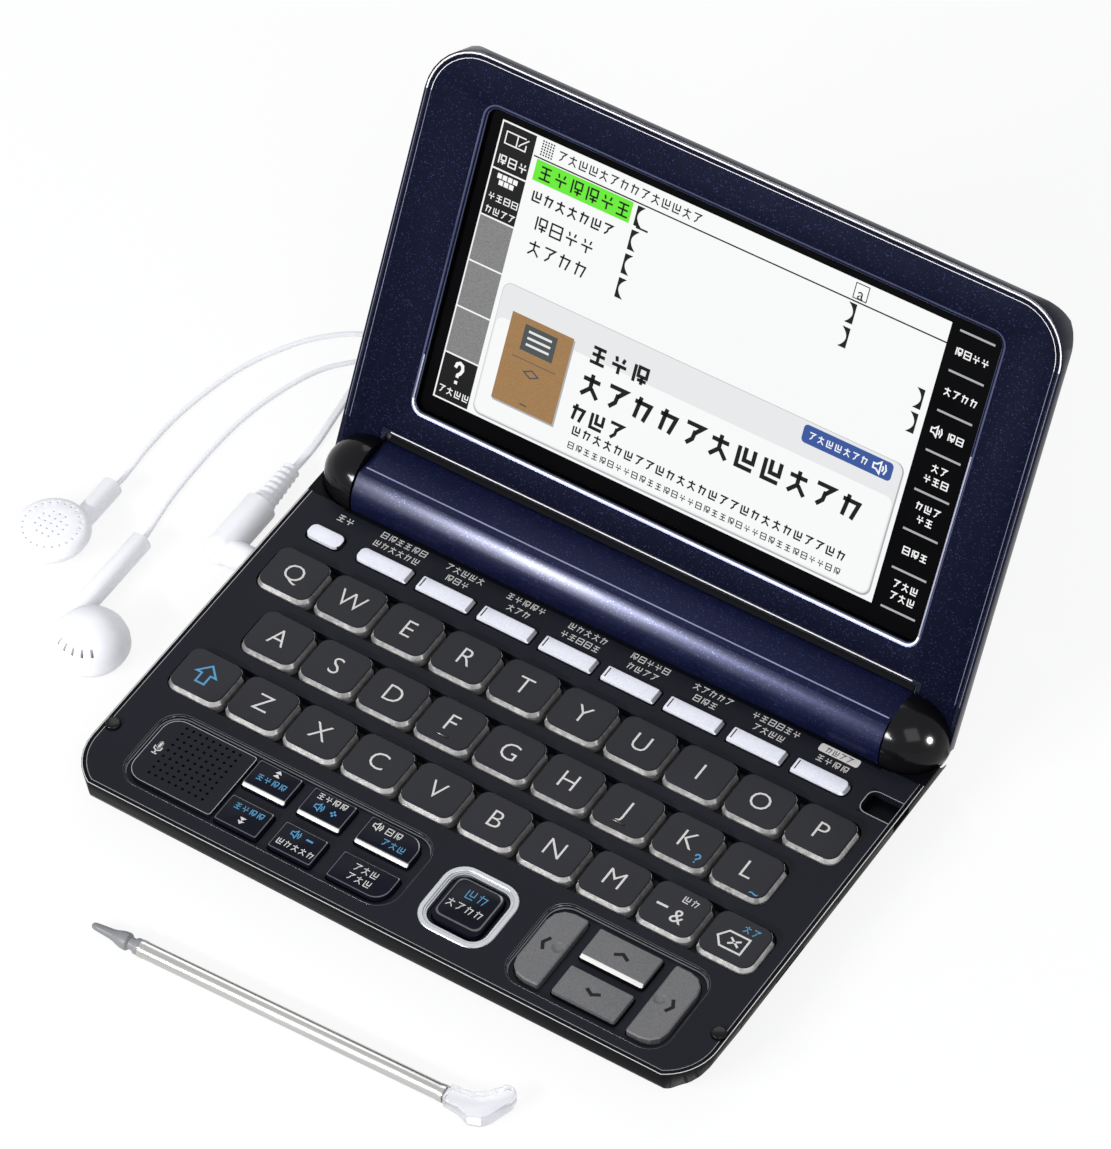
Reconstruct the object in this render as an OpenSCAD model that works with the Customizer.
// Pocket electronic dictionary with a hinged screen lid, a card slot, a stylus and wired earphones.
// Millimetres. +X right, +Y to the back, +Z up; z = 0 is the table under the feet, x = 0 the middle.

/* [Case] */
// Width of the case and of the lid
body_w = 147.6; // [146:0.2:152]
// Distance from the origin to the straight front edge
front_y = 52.75; // [52:0.25:56]
// Height of the keyboard panel's top above the table
panel_z = 9; // [8.8:0.1:10]
// Height of the rubber feet
foot_h = 0.6; // [0.4:0.1:0.9]
// Corner radius of the case and the lid in plan
corner_r = 12; // [10:0.5:14]
// Distance from the corner arcs' centres to the front edge
corner_drop = 10.6; // [9:0.2:11.8]
// Thickness of the case floor
floor_t = 1; // [0.8:0.1:1.2]
// Thickness of the case wall
wall_t = 1.6; // [1.2:0.1:1.8]
// Width of the rim that shows beside the keyboard panel
rim_w = 0.95; // [0.8:0.05:1.1]
// Radius of the rounding along the case's bottom side edges
side_fillet = 7.5; // [6:0.5:8]
// Radius of the rounding along the case's bottom front edge
front_fillet = 5; // [4:0.5:6]
// Gap between pieces that are fixed to each other
seat_gap = 0.05; // [0.03:0.01:0.1]
// Gap between pieces that move past each other
run_gap = 0.3; // [0.25:0.05:0.35]

/* [Hinge] */
// Angle between the lid and the keyboard as it stands open
open_angle = 119.25; // [100:0.25:140]
// Distance from the origin back to the hinge axis
hinge_y = 41.6; // [41:0.2:44]
// Height of the hinge axis above the panel's top
hinge_rise = 1.3; // [1.2:0.1:1.6]
// Radius of the battery tube's round back
tube_r = 8.5; // [8.4:0.1:8.6]
// Length of the lid's and the case's ends beside the battery tube
hinge_end = 10.8; // [10.4:0.1:11.3]
// Radius of the glossy end domes
dome_r = 8.75; // [8.5:0.05:8.9]
// How far an end dome stands out of the case's side
dome_proud = 0.1; // [0:0.05:0.3]
// Radius of the hinge pins
pin_r = 2; // [1.6:0.1:2.4]
// Length of each hinge pin
pin_l = 10; // [9:0.5:11]

/* [Batteries] */
// Radius of a battery cell
cell_r = 7.25; // [7:0.05:7.25]
// Length beyond each battery cell that its spring contact takes up
spring_room = 4.6; // [4:0.1:5]
// Radius of the bore that holds the cells
cell_bore_r = 7.4; // [7.35:0.05:7.45]
// Solid length of the battery tube beyond each end of that bore
tube_end = 8; // [7.5:0.1:8.4]

/* [Lid] */
// Distance from the hinge axis to the lid's top edge
lid_len = 95.5; // [92:0.5:98]
// Thickness of the lid
lid_t = 6.45; // [6.3:0.05:7]
// Distance from the hinge axis to the lid's lower edge between the domes
lid_low = 10.2; // [10:0.1:11]
// How far the lid's inner face lies beyond the hinge axis
face_drop = 0.45; // [0.4:0.05:0.6]
// Width of the lid rim that shows beside the screen bezel
lid_rim = 1; // [0.8:0.05:1.2]
// Thickness of the screen bezel
bezel_t = 1.5; // [1.3:0.1:1.6]
// Radius of the rounding along the lid's back edges
lid_fillet = 5; // [4:0.5:5]
// Radius of the rounding along the lid's lower back edge
lid_low_fillet = 4; // [3.5:0.5:4.5]
// Thickness of the lid's back wall
lid_wall = 1.2; // [1:0.1:1.3]
// Distance from the lid's sides to the screen window
window_side = 14; // [12:0.1:18]
// Distance from the lid's top edge to the screen window
window_top = 9.75; // [8:0.05:14]
// Sideways offset of the screen window
window_x = 0.9; // [-1:0.1:1]
// Distance from the hinge axis to the window's lower edge
window_low = 17.55; // [17:0.05:19]

/* [Letter keys] */
// Distance from the case's sides to the cells of the ten letter keys in a row
key_margin = 4.2; // [3.8:0.1:4.8]
// Distance between the rows of letter keys
row_pitch = 15.5; // [15.3:0.1:15.6]
// Place of the back row of letter keys
top_row_y = 12.2; // [12:0.1:12.6]
// Space between the skirts of neighbouring letter keys
key_space = 0.62; // [0.6:0.02:0.9]
// Depth of a letter key at its skirt
key_d = 11.7; // [11.2:0.1:12]
// Corner radius of a letter key's skirt
key_r = 2.9; // [2:0.1:3.5]
// Slope of a letter key between its skirt and its top, per side
key_slope = 0.6; // [0.4:0.05:0.8]
// Height of a letter key's top above the panel
key_rise = 1.4; // [1:0.1:1.5]
// Travel of every key
key_travel = 0.6; // [0.4:0.05:0.6]

/* [Menu keys] */
// Distance from the case's sides to the cells of the eight menu bars
bar_margin = 14.32; // [14:0.04:15.4]
// Space between neighbouring menu bars
bar_space = 2.22; // [1.8:0.02:2.8]
// Depth of a menu bar and of the power key
bar_d = 3.7; // [3:0.1:4]
// Place of the menu bars from front to back
bar_y = 24.05; // [24:0.05:24.3]
// Height of the menu bars above the panel
bar_rise = 0.8; // [0.5:0.1:1.2]

/* [Key clusters] */
// Depth of the recesses in the panel
recess_d = 1; // [0.8:0.1:1.1]
// Width of the left recess, with the speaker and the function keys, on a case of the drawn width
left_recess_w = 65; // [64.8:0.1:65.2]
// Depth from front to back of the left recess
left_recess_d = 19.6; // [19.4:0.1:19.8]
// Width of the cursor recess on a case of the drawn width
cursor_recess_w = 36.8; // [36.4:0.1:37]
// Depth from front to back of the cursor recess
cursor_recess_d = 21.5; // [21.3:0.1:21.7]
// Width of the ring round the enter key
ring_w = 17; // [16.6:0.1:17.2]
// Width of the wall of the ring round the enter key
ring_wall = 1.72; // [1.5:0.02:1.9]
// Width of the enter key
enter_w = 11.1; // [10.5:0.1:11.5]
// Distance between the holes of the speaker grille
grille_pitch = 1.62; // [1.6:0.01:1.66]
// Number of grille holes along each side
grille_n = 9; // [5:1:9]

/* [Card door] */
// Length of the card door along the side
door_l = 35.2; // [32:0.2:36]
// Place of the middle of the card door
door_y = -16.4; // [-17:0.1:-15.5]
// Thickness of the card door
door_t = 1.2; // [1:0.1:1.4]
// Height of the card door's lower edge above the table
door_low = 2.6; // [2.4:0.1:3]
// Height of the card door's upper edge above the table
door_high = 8; // [7.6:0.1:8.2]

/* [Stylus] */
// Radius of the stylus tube
stylus_r = 1.85; // [1.7:0.05:1.85]
// Length of the stylus tube
stylus_l = 70.2; // [60:0.2:72]
// Radius of the bore that stores the stylus
silo_r = 2; // [1.95:0.01:2.05]
// Wall of the stylus guide round its bore
silo_wall = 0.35; // [0.3:0.01:0.38]
// Place of the stylus bore from front to back
silo_y = 24; // [23.8:0.1:24.2]
// Height of the stylus bore above the table
silo_z = 4; // [3.98:0.01:4.05]
// Length of the stylus bore from the side of the case
silo_l = 98; // [90:1:100]

/* [Earphones] */
// Radius of the plug's metal shaft
plug_r = 1.75; // [1.7:0.01:1.75]
// Radius of the plug's moulded body
plug_body_r = 3.6; // [3.4:0.1:3.8]
// Place of the earphone socket from front to back
jack_y = 13.9; // [13.5:0.1:14.2]
// Height of the earphone socket above the table
jack_z = 4.2; // [4.2:0.02:4.3]
// Radius of an earbud at its rim
bud_r = 8.15; // [7.8:0.05:8.3]
// Radius of an earbud's stem
stem_r = 2.35; // [2.2:0.05:2.4]
// Thickness of the single cords
cord_d = 1.1; // [1:0.1:1.3]
// Width of the twin cord
twin_w = 1.8; // [1.6:0.1:1.9]

/* [Hidden] */

// Places across the case are written below for a width of 147.6, and move in proportion with another width
wide = body_w / 147.6;
half_w = body_w / 2;
tube_half = half_w - hinge_end;
cell_bore_half = tube_half - tube_end;
cell_l = cell_bore_half - spring_room;
dome_start = 1;
dome_l = hinge_end - dome_start + dome_proud;
key_pitch = (body_w - 2 * key_margin) / 10;
key_w = key_pitch - key_space;
bar_pitch = (body_w - 2 * bar_margin) / 8;
bar_w = bar_pitch - bar_space;
window_w = body_w - 2 * window_side;
window_h = lid_len - window_low - window_top;
hinge_z = panel_z + hinge_rise;
panel_t = 2;
under_panel = panel_z - panel_t;
floor_top = foot_h + floor_t;
recess_z = panel_z - recess_d;
dome_in = tube_half + 0.4;
horn_in = tube_half + run_gap;
case_back = 33;
tube_front = case_back + seat_gap;
tube_top = panel_z + 8.25;
shallow = 0.01;

// Keys hang this far down into the panel's holes
key_bottom = under_panel + run_gap;
keys_x = 0.2 * wide;
bars_x = 3.42 * wide;
key_rows = [[top_row_y, 10], [top_row_y - row_pitch, 9], [top_row_y - 2 * row_pitch, 10]];
power_x = 10.7 - half_w;
power_w = 8.2;
bar_r = 1.4;
bar_facet = 0.5;
key_lip = 0.75;

left_w = left_recess_w * wide;
cursor_w = cursor_recess_w * wide;
left_recess_x = -31.6 * wide;
left_recess_y = -38.4;
cursor_side = 9.4;
cursor_x = half_w - cursor_side - cursor_w / 2;
cursor_y = -38.35;
enter_x = 14.06 * wide;
enter_y = -38.8;
recess_r = 5;

// Left and right edge on a case of the drawn width, front and back edge, and the outer corner's radius
fn_back_rows = [-37, -29.9];
fn_front_rows = [-46.95, -39.9];
fn_drawn = [
  [-41.4, -31, fn_back_rows, 0.6],
  [-28.2, -18, fn_back_rows, 0.6],
  [-14.5, -1.6, fn_back_rows, 3.6],
  [-41.1, -30.9, fn_front_rows, 0.6],
  [-28.2, -18, fn_front_rows, 0.6],
  [-14.3, -0.9, fn_front_rows, 3.6]
];
fn_keys = [for (k = fn_drawn) [k[0] * wide, k[1] * wide, k[2], k[3]]];
fn_rise = 0.2;
plate_x = [-62.9 * wide, -42.1 * wide];
plate_y = [-46.8, -29.9];
grille_x = -52.05 * wide;
grille_y = -37.65;
grille_hole_r = 0.36;
speaker_r = 8.4;
speaker_x = -52.5 * wide;
speaker_y = -38.35;

board_z = 2;
board_t = 1;
membrane_t = 1;
membrane_z = key_bottom - key_travel - 0.5 - membrane_t;
board_front = -48.8;
board_back = 20.5;
board_half = half_w - 10.8;
membrane_in = 3.8;
post_r = 2.2;
screw_r = 1;
screw_head_r = 1.8;
post_spots = [[6.3 - half_w, -27], [4 * wide, -27.3], [half_w - 6.2, -43.5], [5.8 - half_w, 30.2],
  [half_w - 5.8, 30.2]];
foot_in = half_w - 13.8;
foot_spots = [[-foot_in, -40], [foot_in, -40], [-foot_in, 26], [foot_in, 26]];
foot_r = 4;
foot_pocket = 0.35;

bumper_r = 1.6;
bumper_rise = 0.6;
bumper_in = half_w - 2.1;
bumper_spots = [[-bumper_in, -38.05], [bumper_in, -38.65]];

scoop_x = half_w - 8.5;
scoop_y = [21.35, 27.2];
scoop_floor = under_panel - 0.15;

jack_half = 4.1;
jack_x = [6.6 - half_w, 17.8 - half_w];
jack_h = [1.75, 6.25];
socket_x = [half_w - 29.8, half_w - 5.8];
socket_half = 14;
socket_wall = 1.8;

stylus_turn = 1.9;
stylus_end = [32, -74];

// The earphones lie on the table beside and behind the case
plug_x = -half_w - 8.2;
plug_sleeve_r = 3.1;
plug_back = 27.2;
relief_end = [plug_x - 1.4, 40, 2.1];
bud_left = [-114.6, -0.6];
bud_right = [-91.2, -19.6];
bud_holes = 24;
bud_hole_ring = 6;
bud_hole_pitch = 1.5;
bud_hole_r = 0.26;
slot_ring = 6.3;
slot_turn = -85;
twin_h = 1.1;
coil_spot = [-42, 98];
cord_z = 0.6;
coil_pitch = 2.4;
coil_inner = 6.5;
coil_turns = 3;
coil_layer = 1.7;
coil_steps = 24;
splitter_spot = [-74, 122];

// Keeps what lies beside a case of the drawn width at the same distance from a wider or narrower one
module beside_case() {
  translate([half_w / wide - half_w, 0, 0]) children();
}

// Routes chosen by hand on the table, in millimetres
twin_route = [[-83.5, 40.2, 1.4], [-83.8, 44, 0.6], [-84, 50, 0.6], [-85.2, 59.4, 0.6],
  [-86, 67.5, 0.6], [-84.5, 75, 0.6], [-79.5, 81, 0.6], [-72, 84.2, 0.6], [-62, 84.8, 0.6],
  [-52, 84.3, 0.6], [-42, 84.3, 0.6]];
return_route = [[-28.3, 98, 5.7], [-28.3, 103, 5.7], [-28.9, 107.5, 5.6], [-31, 113, 4.2],
  [-35.5, 118, 2.4], [-41, 121, 1.1], [-48, 122.6, 0.6], [-58, 122.8, 0.6], [-66, 122.3, 0.7],
  [-71.5, 122, 0.9]];
left_route = [[-112.3, 17.6, 1.9], [-112.6, 21, 0.6], [-113.2, 31.3, 0.6], [-112.6, 43.9, 0.6],
  [-109.3, 58.7, 0.6], [-103.5, 70.1, 0.6], [-97.7, 76.6, 0.6], [-92.5, 80.1, 0.6],
  [-85.5, 84.8, 0.6], [-80.6, 91.5, 0.6], [-79.6, 101, 0.6], [-82.5, 110.5, 0.6],
  [-84.2, 117.5, 0.6], [-82.4, 122, 0.6], [-79.6, 123.2, 0.7], [-77, 123.2, 0.9]];
right_route = [[-98.7, 7.6, 1.9], [-99.5, 10.9, 0.6], [-101, 21.8, 0.6], [-101.5, 34.2, 0.6],
  [-100.9, 46.7, 0.6], [-98.5, 57.8, 0.6], [-94.7, 67, 0.6], [-89.1, 73.4, 0.6],
  [-83.6, 79.4, 0.6], [-78, 85.4, 0.6], [-74.4, 92, 0.6], [-73.6, 100, 0.6],
  [-75.8, 108, 0.6], [-78.6, 114, 0.6], [-80, 118.4, 0.6], [-79, 120.7, 0.7], [-77, 121, 0.9]];

function arc(cx, cy, r, from, to, n) =
  [for (i = [0:n]) let (a = from + (to - from) * i / n) [cx + r * cos(a), cy + r * sin(a)]];

// Rounded rectangle with a radius for each corner: front right, back right, back left, front left
function round_box(x, y, r, n = 4) = concat(
  arc(x[1] - r[0], y[0] + r[0], r[0], -90, 0, n),
  arc(x[1] - r[1], y[1] - r[1], r[1], 0, 90, n),
  arc(x[0] + r[2], y[1] - r[2], r[2], 90, 180, n),
  arc(x[0] + r[3], y[0] + r[3], r[3], 180, 270, n));

function span(c, w) = [c - w / 2, c + w / 2];
function grow(s, d) = [s[0] - d, s[1] + d];
function all4(r) = [r, r, r, r];
function at_height(points, z) = [for (p = points) [p[0], p[1], z]];

// Smooth points through a route, with the given number of steps in each stretch
function between(a, b, c, d, t) =
  0.5 * (2 * b + (c - a) * t + (2 * a - 5 * b + 4 * c - d) * t * t
  + (3 * b - a - 3 * c + d) * t * t * t);
function smooth(route, steps) = let (n = len(route)) concat(
  [for (i = [0:n - 2], j = [0:steps - 1]) between(
    route[max(i - 1, 0)], route[i], route[i + 1], route[min(i + 2, n - 1)], j / steps)],
  [route[n - 1]]);

// Cross-section of a flat-lying cord, set square to the way it runs
function unit(v) = v / norm(v);
function ring_at(line, i, w, h, sides) = let (
  n = len(line),
  run = unit(line[min(i + 1, n - 1)] - line[max(i - 1, 0)]),
  side = unit([run[1], -run[0], 0]),
  up = cross(side, run))
  [for (k = [0:sides - 1]) let (a = 360 * (k + 0.5) / sides)
    line[i] + side * w / 2 * cos(a) + up * h / 2 * sin(a)];

// Closed skin over rings that all have the same number of points
module skin(rings) {
  n = len(rings[0]);
  m = len(rings);
  sides = [for (j = [0:m - 2], i = [0:n - 1])
    let (a = j * n + i, b = j * n + (i + 1) % n) each [[a, a + n, b + n], [a, b + n, b]]];
  first = [for (i = [0:n - 1]) i];
  last = [for (i = [0:n - 1]) m * n - 1 - i];
  polyhedron([for (r = rings) for (p = r) p], concat(sides, [first, last]));
}

module swept(line, w, h, sides) {
  skin([for (i = [0:len(line) - 1]) ring_at(line, i, w, h, sides)]);
}

module slab(points, z) {
  translate([0, 0, z[0]]) linear_extrude(z[1] - z[0]) polygon(points);
}

module box(x, y, z) {
  translate([x[0], y[0], z[0]]) cube([x[1] - x[0], y[1] - y[0], z[1] - z[0]]);
}

module along_x(x) {
  translate([x[0], 0, 0]) rotate([90, 0, 90]) linear_extrude(x[1] - x[0]) children();
}

module along_y(y) {
  translate([0, y[1], 0]) rotate([90, 0, 0]) linear_extrude(y[1] - y[0]) children();
}

module rod(x, y, z, r) {
  translate([x[0], y, z]) rotate([0, 90, 0]) cylinder(r = r, h = x[1] - x[0], $fn = 48);
}

module both_sides() {
  children();
  mirror([1, 0, 0]) children();
}

// Outline of the case in plan, with the horns that reach back beside the battery tube
module case_plan(inset = 0) {
  lean = asin(corner_drop / corner_r);
  cx = half_w - corner_r;
  cy = corner_drop - front_y;
  offset(delta = -inset) polygon(concat(
    arc(cx, cy, corner_r, -lean, 0, 6),
    [[half_w, hinge_y], [horn_in, hinge_y], [horn_in, case_back],
     [-horn_in, case_back], [-horn_in, hinge_y], [-half_w, hinge_y]],
    arc(-cx, cy, corner_r, 180, 180 + lean, 6)));
}

module case_solid(inset, low, high, thin) {
  sx = half_w - side_fillet;
  sz = foot_h + side_fillet;
  fz = foot_h + front_fillet;
  fy = front_fillet - front_y;
  intersection() {
    translate([0, 0, low]) linear_extrude(high - low) case_plan(inset);
    along_y([-front_y - 1, hinge_y + 1]) polygon(concat(
      arc(sx, sz, side_fillet - thin, -90, 0, 6), [[half_w - thin, high + 1], [thin - half_w, high + 1]],
      arc(-sx, sz, side_fillet - thin, 180, 270, 6)));
    along_x([-half_w - 1, half_w + 1]) polygon(concat(
      [[hinge_y + 1, high + 1], [-front_y + thin, high + 1]],
      arc(fy, fz, front_fillet - thin, 180, 270, 5), [[hinge_y + 1, foot_h + thin]]));
  }
}

// Dome that closes an end of the hinge, or the hollow in the case that it turns in
module dome(r, l, from) {
  steps = 8;
  start = from - tube_half - dome_start;
  translate([tube_half + dome_start, hinge_y, hinge_z]) rotate([0, 90, 0]) rotate_extrude($fn = 72)
    polygon(concat(
      [[0, start]],
      [for (i = [0:steps]) let (t = i == 0 ? start : l * sin(90 * i / steps))
        [r * sqrt(max(0, 1 - t * t / (l * l))), t]]));
}

module dome_hollows() {
  both_sides() dome(dome_r + 0.5, dome_l + 0.55, horn_in - dome_start);
}

module silo(r, x) {
  rod(x, silo_y, silo_z, r);
}

module bottom_case() color("#20232b") difference() {
  union() {
    difference() {
      case_solid(0, foot_h, panel_z, 0);
      case_cavity();
    }
    for (p = post_spots) intersection() {
      case_solid(0, foot_h, panel_z, 0);
      translate([p[0], p[1], foot_h]) cylinder(r = post_r, h = under_panel - seat_gap - foot_h, $fn = 32);
    }
    // Shelf under the finger scoop, over the end of the stylus bore
    intersection() {
      case_solid(0, foot_h, panel_z, 0);
      box([scoop_x - 1, half_w], [scoop_y[0] - 0.8, scoop_y[1] + 0.3],
        [silo_z + silo_r + silo_wall + seat_gap, scoop_floor]);
    }
  }
  translate([0, 0, under_panel - seat_gap]) linear_extrude(panel_t + 1) intersection() {
    case_plan(rim_w);
    translate([-half_w, -front_y - 1]) square([body_w, front_y + 1 + case_back]);
  }
  dome_hollows();
  silo(silo_r + silo_wall + seat_gap, [half_w - 12, half_w + 1]);
  rod([-half_w - 1, -half_w + 12], jack_y, jack_z, plug_sleeve_r - 1.1);
  box([half_w - 6, half_w + 1], grow(span(door_y, door_l), 0.15), [door_low - run_gap, door_high + run_gap]);
  box([half_w - rim_w - 0.2, half_w + 1], scoop_y, [scoop_floor, panel_z + 1]);
  for (p = post_spots) translate([p[0], p[1], 0]) {
    cylinder(r = screw_r, h = under_panel - 0.6, $fn = 24);
    cylinder(r = screw_head_r + 0.1, h = floor_top - 0.1, $fn = 32);
  }
  for (p = bumper_spots) translate([p[0], p[1], recess_z])
    cylinder(r = bumper_r + 0.1, h = panel_t, $fn = 32);
  for (p = foot_spots) translate([p[0], p[1], 0])
    cylinder(r = foot_r + 0.1, h = foot_h + foot_pocket, $fn = 48);
  door_pins(door_pin_r + 0.05, 0.95);
}

module case_cavity() {
  difference() {
    case_solid(wall_t, floor_top, panel_z + 1, floor_t);
    both_sides() box([horn_in - wall_t, half_w], [case_back - 0.8, hinge_y], [0, panel_z + 2]);
  }
}

module panel_hole(x, y, r, low = under_panel - 1) {
  slab(round_box(x, y, r), [low, panel_z + 1]);
}

module keyboard_panel() color("#20232a") difference() {
  translate([0, 0, under_panel]) linear_extrude(panel_t) intersection() {
    case_plan(rim_w + seat_gap);
    translate([-half_w, -front_y - 1]) square([body_w, front_y + 1 + case_back - 0.1]);
  }
  for (row = key_rows)
    panel_hole(grow(span(keys_x, (row[1] - 1) * key_pitch + key_w), run_gap),
      grow(span(row[0], key_d), run_gap), all4(key_r + run_gap));
  panel_hole(grow(span(power_x, power_w), run_gap), grow(span(bar_y, bar_d), run_gap), all4(bar_r));
  for (i = [0:7])
    panel_hole(grow(span(bar_x(i), bar_w), run_gap), grow(span(bar_y, bar_d), run_gap), bar_corners(i, 0.3));
  panel_hole(span(left_recess_x, left_w), span(left_recess_y, left_recess_d), all4(recess_r), recess_z);
  panel_hole(span(cursor_x, cursor_w), span(cursor_y, cursor_recess_d), all4(recess_r - 0.5), recess_z);
  panel_hole(span(enter_x, ring_w + 0.2), span(enter_y, ring_w + 0.35), all4(5), recess_z);
  panel_hole(grow(span(enter_x, enter_w), run_gap), grow(span(enter_y, enter_w + 0.5), run_gap), all4(2.2));
  for (k = fn_keys) panel_hole(grow([k[0], k[1]], run_gap), grow(k[2], run_gap), fn_corners(k, run_gap));
  for (k = cursor_keys()) panel_hole(grow(k[0], run_gap), grow(k[1], run_gap), [for (r = k[2]) r + run_gap]);
  translate([speaker_x, speaker_y, 0]) cylinder(r = speaker_r - 1, h = panel_z, $fn = 48);
  box([scoop_x, half_w], scoop_y, [under_panel - 1, panel_z + 1]);
  // Room for the card door behind the panel's edge
  box([half_w - door_t - run_gap, half_w], grow(span(door_y, door_l), run_gap),
    [under_panel - 1, door_high + run_gap]);
  for (p = bumper_spots) translate([p[0], p[1], recess_z])
    cylinder(r = bumper_r + 0.1, h = panel_t, $fn = 32);
  dome_hollows();
}

// Cap whose top slopes down to the skirt, further in along the front by lip and along the right by facet
module key(x, y, r, slope, high, lip = 0, facet = 0) {
  shoulder = panel_z + 0.1;
  inner_r = [for (q = r) max(q - slope, 0.2)];
  skin([
    at_height(round_box(x, y, r, 3), key_bottom),
    at_height(round_box(x, y, r, 3), shoulder),
    at_height(round_box([x[0] + slope, x[1] - slope - facet], [y[0] + slope + lip, y[1] - slope], inner_r, 3),
      high)]);
}

module letter_row(row) color("#2c2b30") {
  y = key_rows[row][0];
  n = key_rows[row][1];
  top = panel_z + key_rise;
  for (i = [0:n - 1]) {
    x = keys_x + (i - (n - 1) / 2) * key_pitch;
    key(span(x, key_w), span(y, key_d), all4(key_r), key_slope, top);
    // Touch-typing bars on two keys of the middle row
    if (row == 1 && (i == 3 || i == 6))
      box(span(x, 3), span(y - key_d * 0.3, 0.5), [top - shallow, top + 0.25]);
  }
}

module power_key() color("#dfe1e8")
  key(span(power_x, power_w), span(bar_y, bar_d), all4(1.2), 0.3, panel_z + bar_rise);

function bar_x(i) = bars_x + (i - 3.5) * bar_pitch;
function bar_corners(i, extra) = [for (k = [0:3])
  (i == 0 && k > 1) || (i == 7 && k < 2) ? bar_r + extra : 0.4 + extra / 3];

module menu_key(i) color("#dfe1e8")
  key(span(bar_x(i), bar_w), span(bar_y, bar_d), bar_corners(i, 0), 0.3, panel_z + bar_rise,
    facet = bar_facet);

function fn_corners(k, extra) = let (back = k[2] == fn_back_rows, r = k[3] + extra, s = 0.6 + extra)
  [back ? s : r, back ? r : s, s, s];

module function_key(i) color("#3c3b41") {
  k = fn_keys[i];
  key([k[0], k[1]], k[2], fn_corners(k, 0), 0.25, panel_z + fn_rise, lip = i < 3 ? key_lip : 0);
}

// Side, side, corner radii of the four cursor keys: up, down, left, right
function cursor_keys() = let (
  inner = 10.05 * wide, outer = cursor_w / 2 - 1.05, slim = 7.35 * wide, mid = cursor_y)
  [[span(cursor_x, 2 * slim), [mid + 0.95, mid + 8.85], all4(0.6)],
   [span(cursor_x, 2 * slim), [mid - 8.95, mid - 1.45], all4(0.6)],
   [[cursor_x - outer, cursor_x - inner], [mid - 9.25, mid + 9.05], [0.6, 0.6, 4, 4]],
   [[cursor_x + inner, cursor_x + outer], [mid - 9.25, mid + 9.05], [4, 4, 0.6, 0.6]]];

module cursor_key(i) color("#6e6e72") {
  k = cursor_keys()[i];
  top = panel_z + 0.3;
  difference() {
    key(k[0], k[1], k[2], 0.3, top, lip = i == 0 ? key_lip : 0);
    // Finger dimple by the middle of the pad on the side keys
    if (i > 1) translate([i == 2 ? k[0][1] - 1.6 : k[0][0] + 1.6, cursor_y + 0.5, top + 2.4])
      sphere(r = 2.75, $fn = 32);
  }
}

module enter_key() color("#3a3a3f")
  key(span(enter_x, enter_w), span(enter_y, enter_w + 0.5), all4(2), 0.5, panel_z + 0.6, lip = key_lip);

module enter_ring() color("#c9ccd2") {
  inside = ring_w - 2 * ring_wall;
  difference() {
    slab(round_box(span(enter_x, ring_w), span(enter_y, ring_w + 0.15), all4(4.9)),
      [recess_z + seat_gap, panel_z + 0.3]);
    slab(round_box(span(enter_x, inside), span(enter_y, inside + 0.25), all4(3.7)), [recess_z - 1, panel_z + 1]);
  }
}

module speaker_plate() color("#4a4b50") difference() {
  slab(round_box(plate_x, plate_y, [0.6, 0.6, 3.8, 3.8]), [recess_z + seat_gap, panel_z - 0.1]);
  for (i = [0:grille_n - 1], j = [0:grille_n - 1])
    translate([grille_x + (i - (grille_n - 1) / 2) * grille_pitch,
      grille_y + (j - (grille_n - 1) / 2) * grille_pitch, recess_z - 1])
      cylinder(r = grille_hole_r, h = panel_t, $fn = 6);
}

module speaker() color("#8a8c90") translate([speaker_x, speaker_y, 0]) {
  translate([0, 0, under_panel - 2.6]) cylinder(r = speaker_r - 1.4, h = 1.6, $fn = 48);
  translate([0, 0, under_panel - 1]) cylinder(r = speaker_r, h = 1 - seat_gap, $fn = 48);
}

module board_cuts(z) {
  for (p = post_spots) translate([p[0], p[1], z[0]]) cylinder(r = post_r + 0.4, h = z[1] - z[0], $fn = 32);
  box([-half_w, jack_x[1] + 0.4], grow(span(jack_y, 2 * jack_half), 0.4), z);
}

module main_board() color("#1f5c3a") {
  z = [board_z, board_z + board_t];
  difference() {
    box([-board_half, board_half], [board_front, board_back], z);
    board_cuts(grow(z, 1));
  }
  for (c = [[-30, 6, 16, 16], [-4, 4, 14, 20], [20, 8, 12, 12], [-34, -30, 10, 8], [24, -36, 9, 9]])
    box(span(c[0], c[2]), span(c[1], c[3]), [z[1] - shallow, z[1] + 1.2]);
}

module key_membrane() color("#a9aca6") difference() {
  z = [membrane_z, membrane_z + membrane_t];
  translate([0, 0, z[0]]) linear_extrude(membrane_t) intersection() {
    case_plan(membrane_in);
    translate([-half_w, board_front]) square([body_w, board_back - board_front]);
  }
  board_cuts(grow(z, 1));
  translate([speaker_x, speaker_y, z[0] - 1]) cylinder(r = speaker_r + 0.4, h = 4, $fn = 48);
  box([-half_w, speaker_x], [board_front - 1, speaker_y + speaker_r], grow(z, 1));
}

module stylus_guide() color("#17181b") intersection() {
  difference() {
    silo(silo_r + silo_wall, [half_w - silo_l - 1, half_w + 1]);
    silo(silo_r, [half_w - silo_l, half_w + 2]);
  }
  case_solid(0, foot_h, panel_z, 0);
}

module earphone_jack() color("#26272b") difference() {
  box(jack_x, span(jack_y, 2 * jack_half - 0.8), jack_h);
  rod([jack_x[0] - 1, jack_x[1] - 0.5], jack_y, jack_z, plug_r + 0.05);
}

module card_socket() color("#b9bbbd") difference() {
  z = [board_z + board_t + seat_gap, membrane_z - 0.3];
  box(socket_x, span(door_y, 2 * socket_half), z);
  box([socket_x[0] + 4, socket_x[1] + 1], span(door_y, 2 * (socket_half - socket_wall)), grow(z, -0.28));
}

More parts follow.
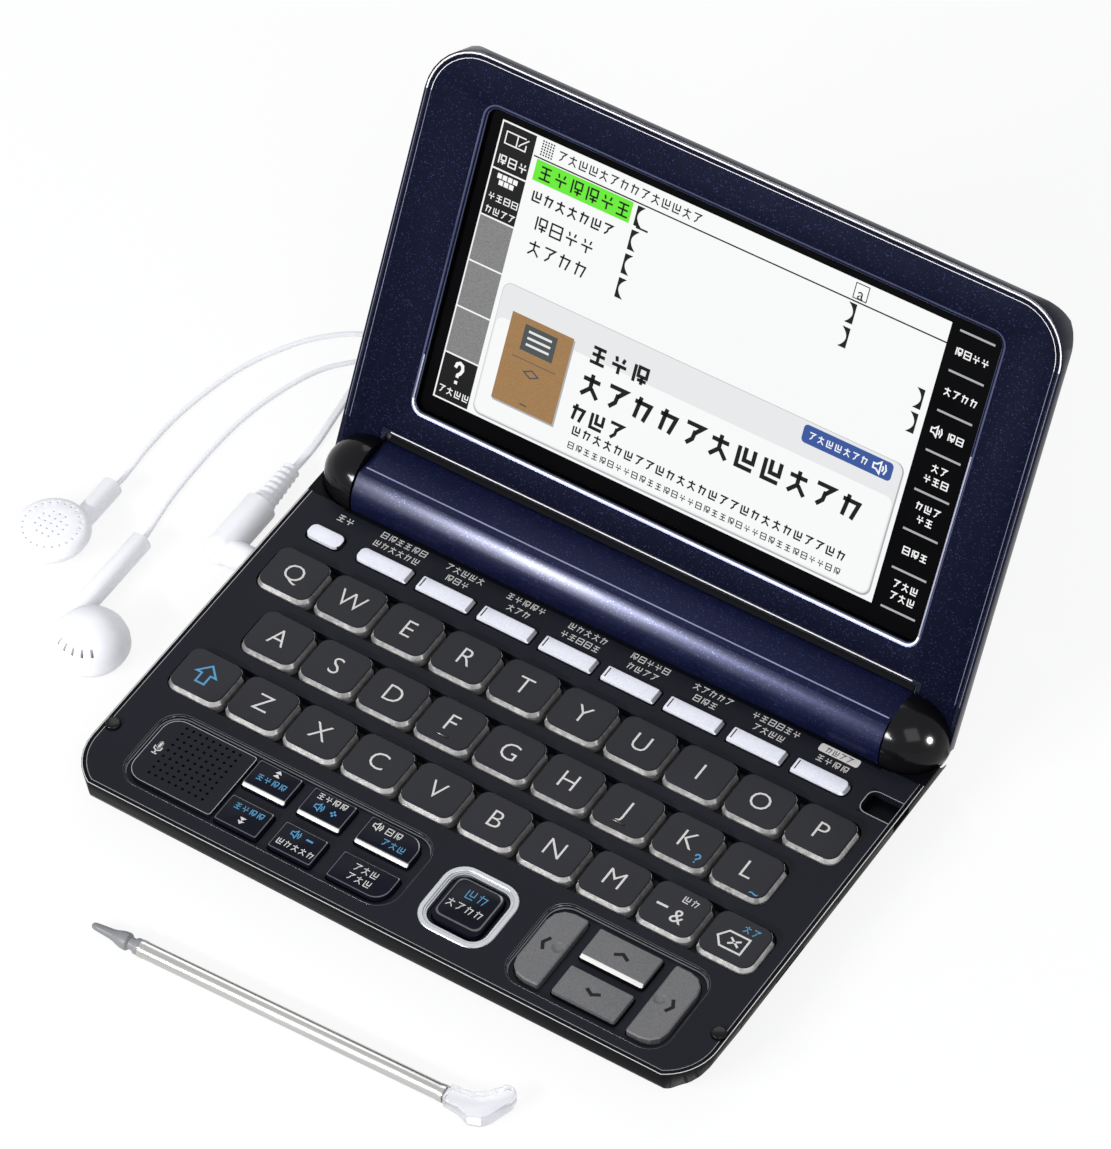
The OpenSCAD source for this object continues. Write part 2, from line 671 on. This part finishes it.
// Pins in the ends of the card door's lower edge, or the holes that they turn in
door_pin_r = 0.4;
door_pin_z = door_low + 0.7;
door_pin_x = half_w - side_fillet
  + sqrt(pow(side_fillet - 0.8, 2) - pow(foot_h + side_fillet - door_pin_z, 2));
module door_pins(r, reach) {
  translate([door_pin_x, door_y - door_l / 2 - reach, door_pin_z]) rotate([-90, 0, 0])
    cylinder(r = r, h = door_l + 2 * reach, $fn = 24);
}

module card_door() color("#1d2028") {
  y = grow(span(door_y, door_l), -0.15);
  difference() {
    intersection() {
      case_solid(0, foot_h, panel_z, 0);
      box([half_w - 6, half_w + 1], y, [door_low, door_high]);
    }
    along_y([y[0] - 1, y[1] + 1]) polygon(concat(
      [[0, door_low - 3]],
      arc(half_w - side_fillet, foot_h + side_fillet, side_fillet - door_t, -90, 0, 8),
      [[half_w - door_t, door_high + 1], [0, door_high + 1]]));
    // Groove for a fingernail
    box([half_w - 0.7, half_w + 1], span(door_y, 10), [door_high - 1.8, door_high - 0.8]);
  }
  door_pins(door_pin_r, 0.8);
}

module rubber_feet() color("#101012")
  for (p = foot_spots) translate([p[0], p[1], 0])
    cylinder(r = foot_r, h = foot_h + foot_pocket - seat_gap, $fn = 48);

module case_screws() color("#9a9ca0")
  for (p = post_spots) translate([p[0], p[1], 0]) difference() {
    union() {
      translate([0, 0, foot_h + 0.1]) cylinder(r = screw_head_r, h = floor_t - 0.2, $fn = 32);
      translate([0, 0, floor_top - 0.2]) cylinder(r = screw_r - 0.02, h = under_panel - floor_top - 0.6, $fn = 24);
    }
    for (a = [0, 90]) rotate([0, 0, a]) translate([-1, -0.2, 0]) cube([2, 0.4, foot_h + 0.5]);
  }

module base_bumpers() color("#0e0e10")
  for (p = bumper_spots) translate([p[0], p[1], recess_z + seat_gap])
    cylinder(r = bumper_r, h = recess_d + bumper_rise, $fn = 32);

// Section of the battery tube: round back, round nose, flat foot and a facet on top
module tube_section() intersection() {
  union() {
    translate([hinge_y, hinge_z]) circle(r = tube_r, $fn = 96);
    translate([tube_front + 6.35, hinge_z + 0.65]) circle(r = 6.35, $fn = 96);
    polygon([[tube_front, foot_h], [hinge_y + 2.7, foot_h],
      [hinge_y + tube_r * cos(45), hinge_z - tube_r * sin(45)], [hinge_y, hinge_z],
      [tube_front + 6.35, hinge_z + 0.65], [tube_front, hinge_z + 0.65]]);
  }
  translate([0, 0]) square([hinge_y + 20, tube_top]);
}

cell_y = hinge_y - 0.3;
cell_z = foot_h + 0.9 + cell_bore_r;
cover_half = cell_bore_half - 1;
cover_low = foot_h + 1.3;
cover_high = tube_top - 0.95;

module cell_bore(r, half) {
  rod([-half, half], cell_y, cell_z, r);
}

module battery_tube() color("#1b2040") difference() {
  along_x([-tube_half, tube_half]) tube_section();
  cell_bore(cell_bore_r, cell_bore_half);
  // Opening at the back that the battery cover closes
  box([-cover_half - run_gap, cover_half + run_gap], [cell_y + 0.2, hinge_y + 20],
    [cover_low - run_gap, cover_high + run_gap]);
  both_sides() rod([tube_half - 5.5, tube_half + 1], hinge_y, hinge_z, pin_r + 0.05);
}

module battery_cover() color("#1b2040") difference() {
  intersection() {
    along_x([-cover_half, cover_half]) tube_section();
    box([-cover_half, cover_half], [cell_y + 0.5, hinge_y + 20], [cover_low, cover_high]);
  }
  cell_bore(cell_bore_r, cover_half + 1);
  // Grip ribs at the middle of the back
  for (i = [-3:3]) translate([1.4 * i, hinge_y + tube_r + 0.55, hinge_z]) cylinder(r = 0.7, h = 5, $fn = 16);
}

module batteries() color("#c9a24a") both_sides() {
  rod([0.1, cell_l - 1.4], cell_y, cell_z, cell_r);
  rod([cell_l - 1.5, cell_l], cell_y, cell_z, 2.7);
}

module battery_contacts() color("#c8c9cb") both_sides() {
  rod([cell_bore_half - 0.5, cell_bore_half - seat_gap], cell_y, cell_z, 5.5);
  rod([cell_l + 0.2, cell_bore_half - 0.4], cell_y, cell_z, 2.5);
}

module hinge_pins() color("#b0b2b5") both_sides()
  rod([tube_half - 5, tube_half - 5 + pin_l], hinge_y, hinge_z, pin_r);

// Places a piece drawn flat, with the hinge axis as its X axis and the lid along +Y, on the open lid
module on_lid() {
  translate([0, hinge_y, hinge_z]) rotate([180 - open_angle, 0, 0]) children();
}

lid_face = -face_drop;
lid_back = lid_face - lid_t;
lobe_in = tube_half + 0.3;

module lid_plan(inset = 0) {
  cx = half_w - corner_r;
  cy = lid_len - corner_r;
  offset(delta = -inset) polygon(concat(
    [[-lobe_in, lid_low], [lobe_in, lid_low], [lobe_in, 0], [half_w, 0]],
    arc(cx, cy, corner_r, 0, 90, 8), arc(-cx, cy, corner_r, 90, 180, 8),
    [[-half_w, 0], [-lobe_in, 0]]));
}

module lid_solid() {
  fx = half_w - lid_fillet;
  fm = lid_back + lid_fillet;
  intersection() {
    translate([0, 0, lid_back]) linear_extrude(lid_t) lid_plan();
    along_y([-1, lid_len + 1]) polygon(concat(
      [[half_w, lid_face + 1], [-half_w, lid_face + 1]],
      arc(-fx, fm, lid_fillet, 180, 270, 6), arc(fx, fm, lid_fillet, 270, 360, 6)));
    along_x([-half_w - 1, half_w + 1]) polygon(concat(
      [[-1, lid_face + 1], [-1, lid_back]],
      arc(lid_len - lid_fillet, fm, lid_fillet, 270, 360, 6), [[lid_len, lid_face + 1]]));
  }
}

module pin_room() {
  both_sides() rod([tube_half - 6, tube_half - 5 + pin_l + 0.1], 0, 0, pin_r);
}

module lid_back_cover() color("#161b33") on_lid() difference() {
  r = lid_low_fillet;
  lid_solid();
  translate([0, 0, lid_face - bezel_t - seat_gap]) linear_extrude(bezel_t + 1) lid_plan(lid_rim);
  slab(round_box([-half_w + 3.2, half_w - 3.2], [lid_low + 3, lid_len - 3.2], all4(corner_r - 3.2)),
    [lid_back + lid_wall, 1]);
  // Rounded lower back edge between the domes
  along_x([-lobe_in, lobe_in]) difference() {
    translate([lid_low - 1, lid_back - 1]) square([r + 1, r + 1]);
    translate([lid_low + r, lid_back + r]) circle(r = r, $fn = 48);
  }
  pin_room();
}

module lid_bezel() color("#1a1c26") on_lid() difference() {
  translate([0, 0, lid_face - bezel_t]) linear_extrude(bezel_t) lid_plan(lid_rim + seat_gap);
  slab(round_box(span(window_x, window_w), [window_low, window_low + window_h], all4(2.5)), [-5, 1]);
  pin_room();
}

module touch_panel() color("#9fb0a6") on_lid()
  slab(round_box(span(window_x, window_w + 5), grow([window_low, window_low + window_h], 2.5), all4(1.5)),
    [lid_face - bezel_t - 1, lid_face - bezel_t - seat_gap]);

module lcd_module() color("#b7bbb5") on_lid()
  slab(round_box(span(window_x, window_w + 4.6), grow([window_low, window_low + window_h], 2.3), all4(0.8)),
    [lid_back + lid_wall + seat_gap, lid_face - bezel_t - 1 - seat_gap]);

module hinge_caps() color("#0d0d10") difference() {
  both_sides() dome(dome_r, dome_l, dome_in);
  on_lid() both_sides() box([tube_half - 1, half_w + 5], [-0.02, 20], [lid_back - 0.02, lid_face + 0.02]);
  both_sides() rod([tube_half - 1, tube_half - 5 + pin_l + 0.1], hinge_y, hinge_z, pin_r - 0.01);
}

// The stylus lies on the table in front of the case, its hooked cap to the right
module on_stylus() {
  translate([stylus_end[0], stylus_end[1], stylus_r]) rotate([0, 0, stylus_turn]) children();
}

module stylus_barrel() color("#c9cbce") on_stylus() {
  rod([-stylus_l, 0], 0, 0, stylus_r - 0.08);
  for (x = [-stylus_l, -1.2]) rod([x, x + 1.2], 0, 0, stylus_r);
}

module stylus_tip() color("#e4e5e6") on_stylus() translate([-stylus_l - seat_gap, 0, 0]) rotate([0, -90, 0])
  rotate_extrude($fn = 32)
    polygon([[0, 0], [1.7, 0], [1.7, 1.3], [1.25, 1.5], [1.1, 3.2], [0.7, 9.6], [0.55, 10.8], [0.3, 11.3], [0, 11.4]]);

module stylus_cap() color("#d5d9dc") translate([stylus_end[0], stylus_end[1], 0])
  slab([[0.3, -1.7], [3.6, -1.9], [7, -2.9], [9.3, -2], [10.5, -0.5], [12.3, 4.6], [11.9, 6.8], [10.7, 7.5],
    [9.3, 7.3], [8.6, 6.2], [6.6, 3.7], [4.9, 2.5], [0.3, 1.8]], [0.15, 3.5]);

module earphone_plug() color("#f0f0f2") {
  x_in = -half_w - 0.3;
  rod([-half_w + 1, -half_w + 13.5], jack_y, jack_z, plug_r);
  rod([x_in, -half_w + 1.1], jack_y, jack_z, plug_r);
  rod([plug_x, x_in], jack_y, jack_z, plug_sleeve_r);
  translate([plug_x, jack_y, jack_z]) rotate([-90, 0, 0])
    cylinder(r = plug_body_r, h = plug_back - jack_y, $fn = 48);
  translate([plug_x, jack_y, jack_z]) sphere(r = plug_body_r, $fn = 48);
}

// Ribbed sleeve that tapers from the plug down to the cord on the table
module strain_relief() color("#ececee") {
  from = [plug_x, plug_back + seat_gap, jack_z];
  ribs = 7;
  skin([for (i = [0:2 * ribs]) let (
    t = i / (2 * ribs), c = from + (relief_end - from) * t, r = 2.75 - 0.65 * t - (i % 2 == 1 ? 0.3 : 0))
    [for (k = [0:11]) [c[0] - r * cos(30 * k), c[1], c[2] + r * sin(30 * k)]]]);
}

// Coil in four flat layers: in along the table, up on the inside, out on top, up on the outside and so on
coil_outer = coil_inner + coil_pitch * coil_turns;
coil_stage = coil_turns + 0.75;
function coil_radius(t) = let (
  layer = floor(t / coil_stage),
  inward = layer % 2 == 0,
  from = inward ? coil_outer : coil_inner,
  to = inward ? coil_inner : coil_outer,
  tuck = inward ? coil_inner - coil_pitch : coil_outer + coil_pitch,
  u = t - layer * coil_stage,
  v = 4 * (u - coil_turns))
  u < coil_turns ? from + (to - from) * u / coil_turns
  : v < 1 ? to + (tuck - to) * v
  : v < 2 ? tuck
  : tuck + (to - tuck) * (v - 2);
function coil_height(t) = let (
  layer = floor(t / coil_stage),
  v = 4 * (t - layer * coil_stage - coil_turns))
  cord_z + coil_layer * (layer + max(0, min(1, v - 1)));
function coil_point(t) = let (a = 270 + 360 * t)
  [coil_spot[0] + coil_radius(t) * cos(a), coil_spot[1] + coil_radius(t) * sin(a), coil_height(t)];
coil_all = 3 * coil_stage + coil_turns;
coil_line = [for (i = [0:round(coil_all * coil_steps)]) coil_point(i / coil_steps)];

module cord_coil() color("#f2f2f4") beside_case() swept(coil_line, twin_w, twin_h, 6);

// Least distance between turns, measured between centre points a half turn or more apart
coil_gap = min([for (i = [0:len(coil_line) - 1]) for (j = [i + coil_steps / 2:1:len(coil_line) - 1])
  let (d = coil_line[i] - coil_line[j], flat = norm([d[0], d[1]]))
  max(flat - twin_w, abs(d[2]) - twin_h)]);
echo(coil_gap = coil_gap);

module twin_cord() color("#f2f2f4") beside_case() {
  swept(smooth(twin_route, 4), twin_w, twin_h, 8);
  swept(smooth(return_route, 3), twin_w, twin_h, 8);
}

module cord_splitter() color("#ececee") beside_case()
  slab(round_box(span(splitter_spot[0], 7), span(splitter_spot[1], 4), all4(1.4), 3), [0.1, 2.2]);

module left_cord() color("#f4f4f6") beside_case() swept(smooth(left_route, 4), cord_d, cord_d, 8);

module right_cord() color("#f4f4f6") beside_case() swept(smooth(right_route, 4), cord_d, cord_d, 8);

// Earbud that lies with its perforated face up
module left_earbud() color("#f4f4f6") beside_case() {
  translate([bud_left[0], bud_left[1], 0]) difference() {
    rotate_extrude($fn = 48)
      polygon([[0, 0.2], [3.5, 0.2], [5.8, 1.2], [7.3, 2.6], [bud_r - 0.05, 4], [bud_r, 4.8], [bud_r - 0.5, 5.7],
        [6.9, 6.2], [4, 6.6], [0, 6.8]]);
    for (k = [0:bud_holes - 1]) rotate([0, 0, 360 * (k + 0.5) / bud_holes]) translate([bud_hole_ring, 0, 5.9])
      cylinder(r = bud_hole_r, h = 1, $fn = 6);
    for (i = [-2:2], j = [-2:2]) if (i * i + j * j < 6)
      translate([i * bud_hole_pitch, j * bud_hole_pitch, 6.2]) cylinder(r = bud_hole_r, h = 1, $fn = 6);
  }
  translate([-112.3, bud_left[1] + 3, stem_r]) rotate([-90, 0, 0]) cylinder(r = stem_r, h = 14.6, $fn = 32);
}

// Earbud that lies on its face, its rounded back with the sound slots up
module right_earbud() color("#f4f4f6") beside_case() {
  translate([bud_right[0], bud_right[1], 0]) difference() {
    rotate_extrude($fn = 64)
      polygon([[0, 0.1], [6.3, 0.1], [7.5, 0.9], [bud_r, 2.2], [bud_r - 0.05, 3.6], [7.5, 5.6], [6.3, 7.3],
        [4.3, 8.8], [2.1, 9.6], [0, 9.8]]);
    for (k = [-2:2]) rotate([0, 0, slot_turn + 18 * k]) translate([slot_ring, 0, 6])
      cube([1.3, 0.6, 3.4], center = true);
  }
  translate([-98.5, bud_right[1] + 5, stem_r]) rotate([-90, 0, 0]) cylinder(r = stem_r, h = 22.6, $fn = 32);
}

bottom_case();
keyboard_panel();
speaker_plate();
speaker();
enter_ring();
main_board();
key_membrane();
stylus_guide();
earphone_jack();
card_socket();
rubber_feet();
case_screws();
base_bumpers();
battery_tube();
batteries();
battery_contacts();
battery_cover();
hinge_pins();
hinge_caps();
lid_back_cover();
lid_bezel();
touch_panel();
lcd_module();
card_door();
letter_row(0);  // top_row_keys
letter_row(1);  // middle_row_keys
letter_row(2);  // bottom_row_keys
power_key();
menu_key(0);  // menu_key_1
menu_key(1);  // menu_key_2
menu_key(2);  // menu_key_3
menu_key(3);  // menu_key_4
menu_key(4);  // menu_key_5
menu_key(5);  // menu_key_6
menu_key(6);  // menu_key_7
menu_key(7);  // menu_key_8
function_key(0);  // function_key_1
function_key(1);  // function_key_2
function_key(2);  // function_key_3
function_key(3);  // function_key_4
function_key(4);  // function_key_5
function_key(5);  // function_key_6
enter_key();
cursor_key(0);  // cursor_up_key
cursor_key(1);  // cursor_down_key
cursor_key(2);  // cursor_left_key
cursor_key(3);  // cursor_right_key
stylus_barrel();
stylus_tip();
stylus_cap();
earphone_plug();
strain_relief();
twin_cord();
cord_coil();
cord_splitter();
left_cord();
right_cord();
left_earbud();
right_earbud();
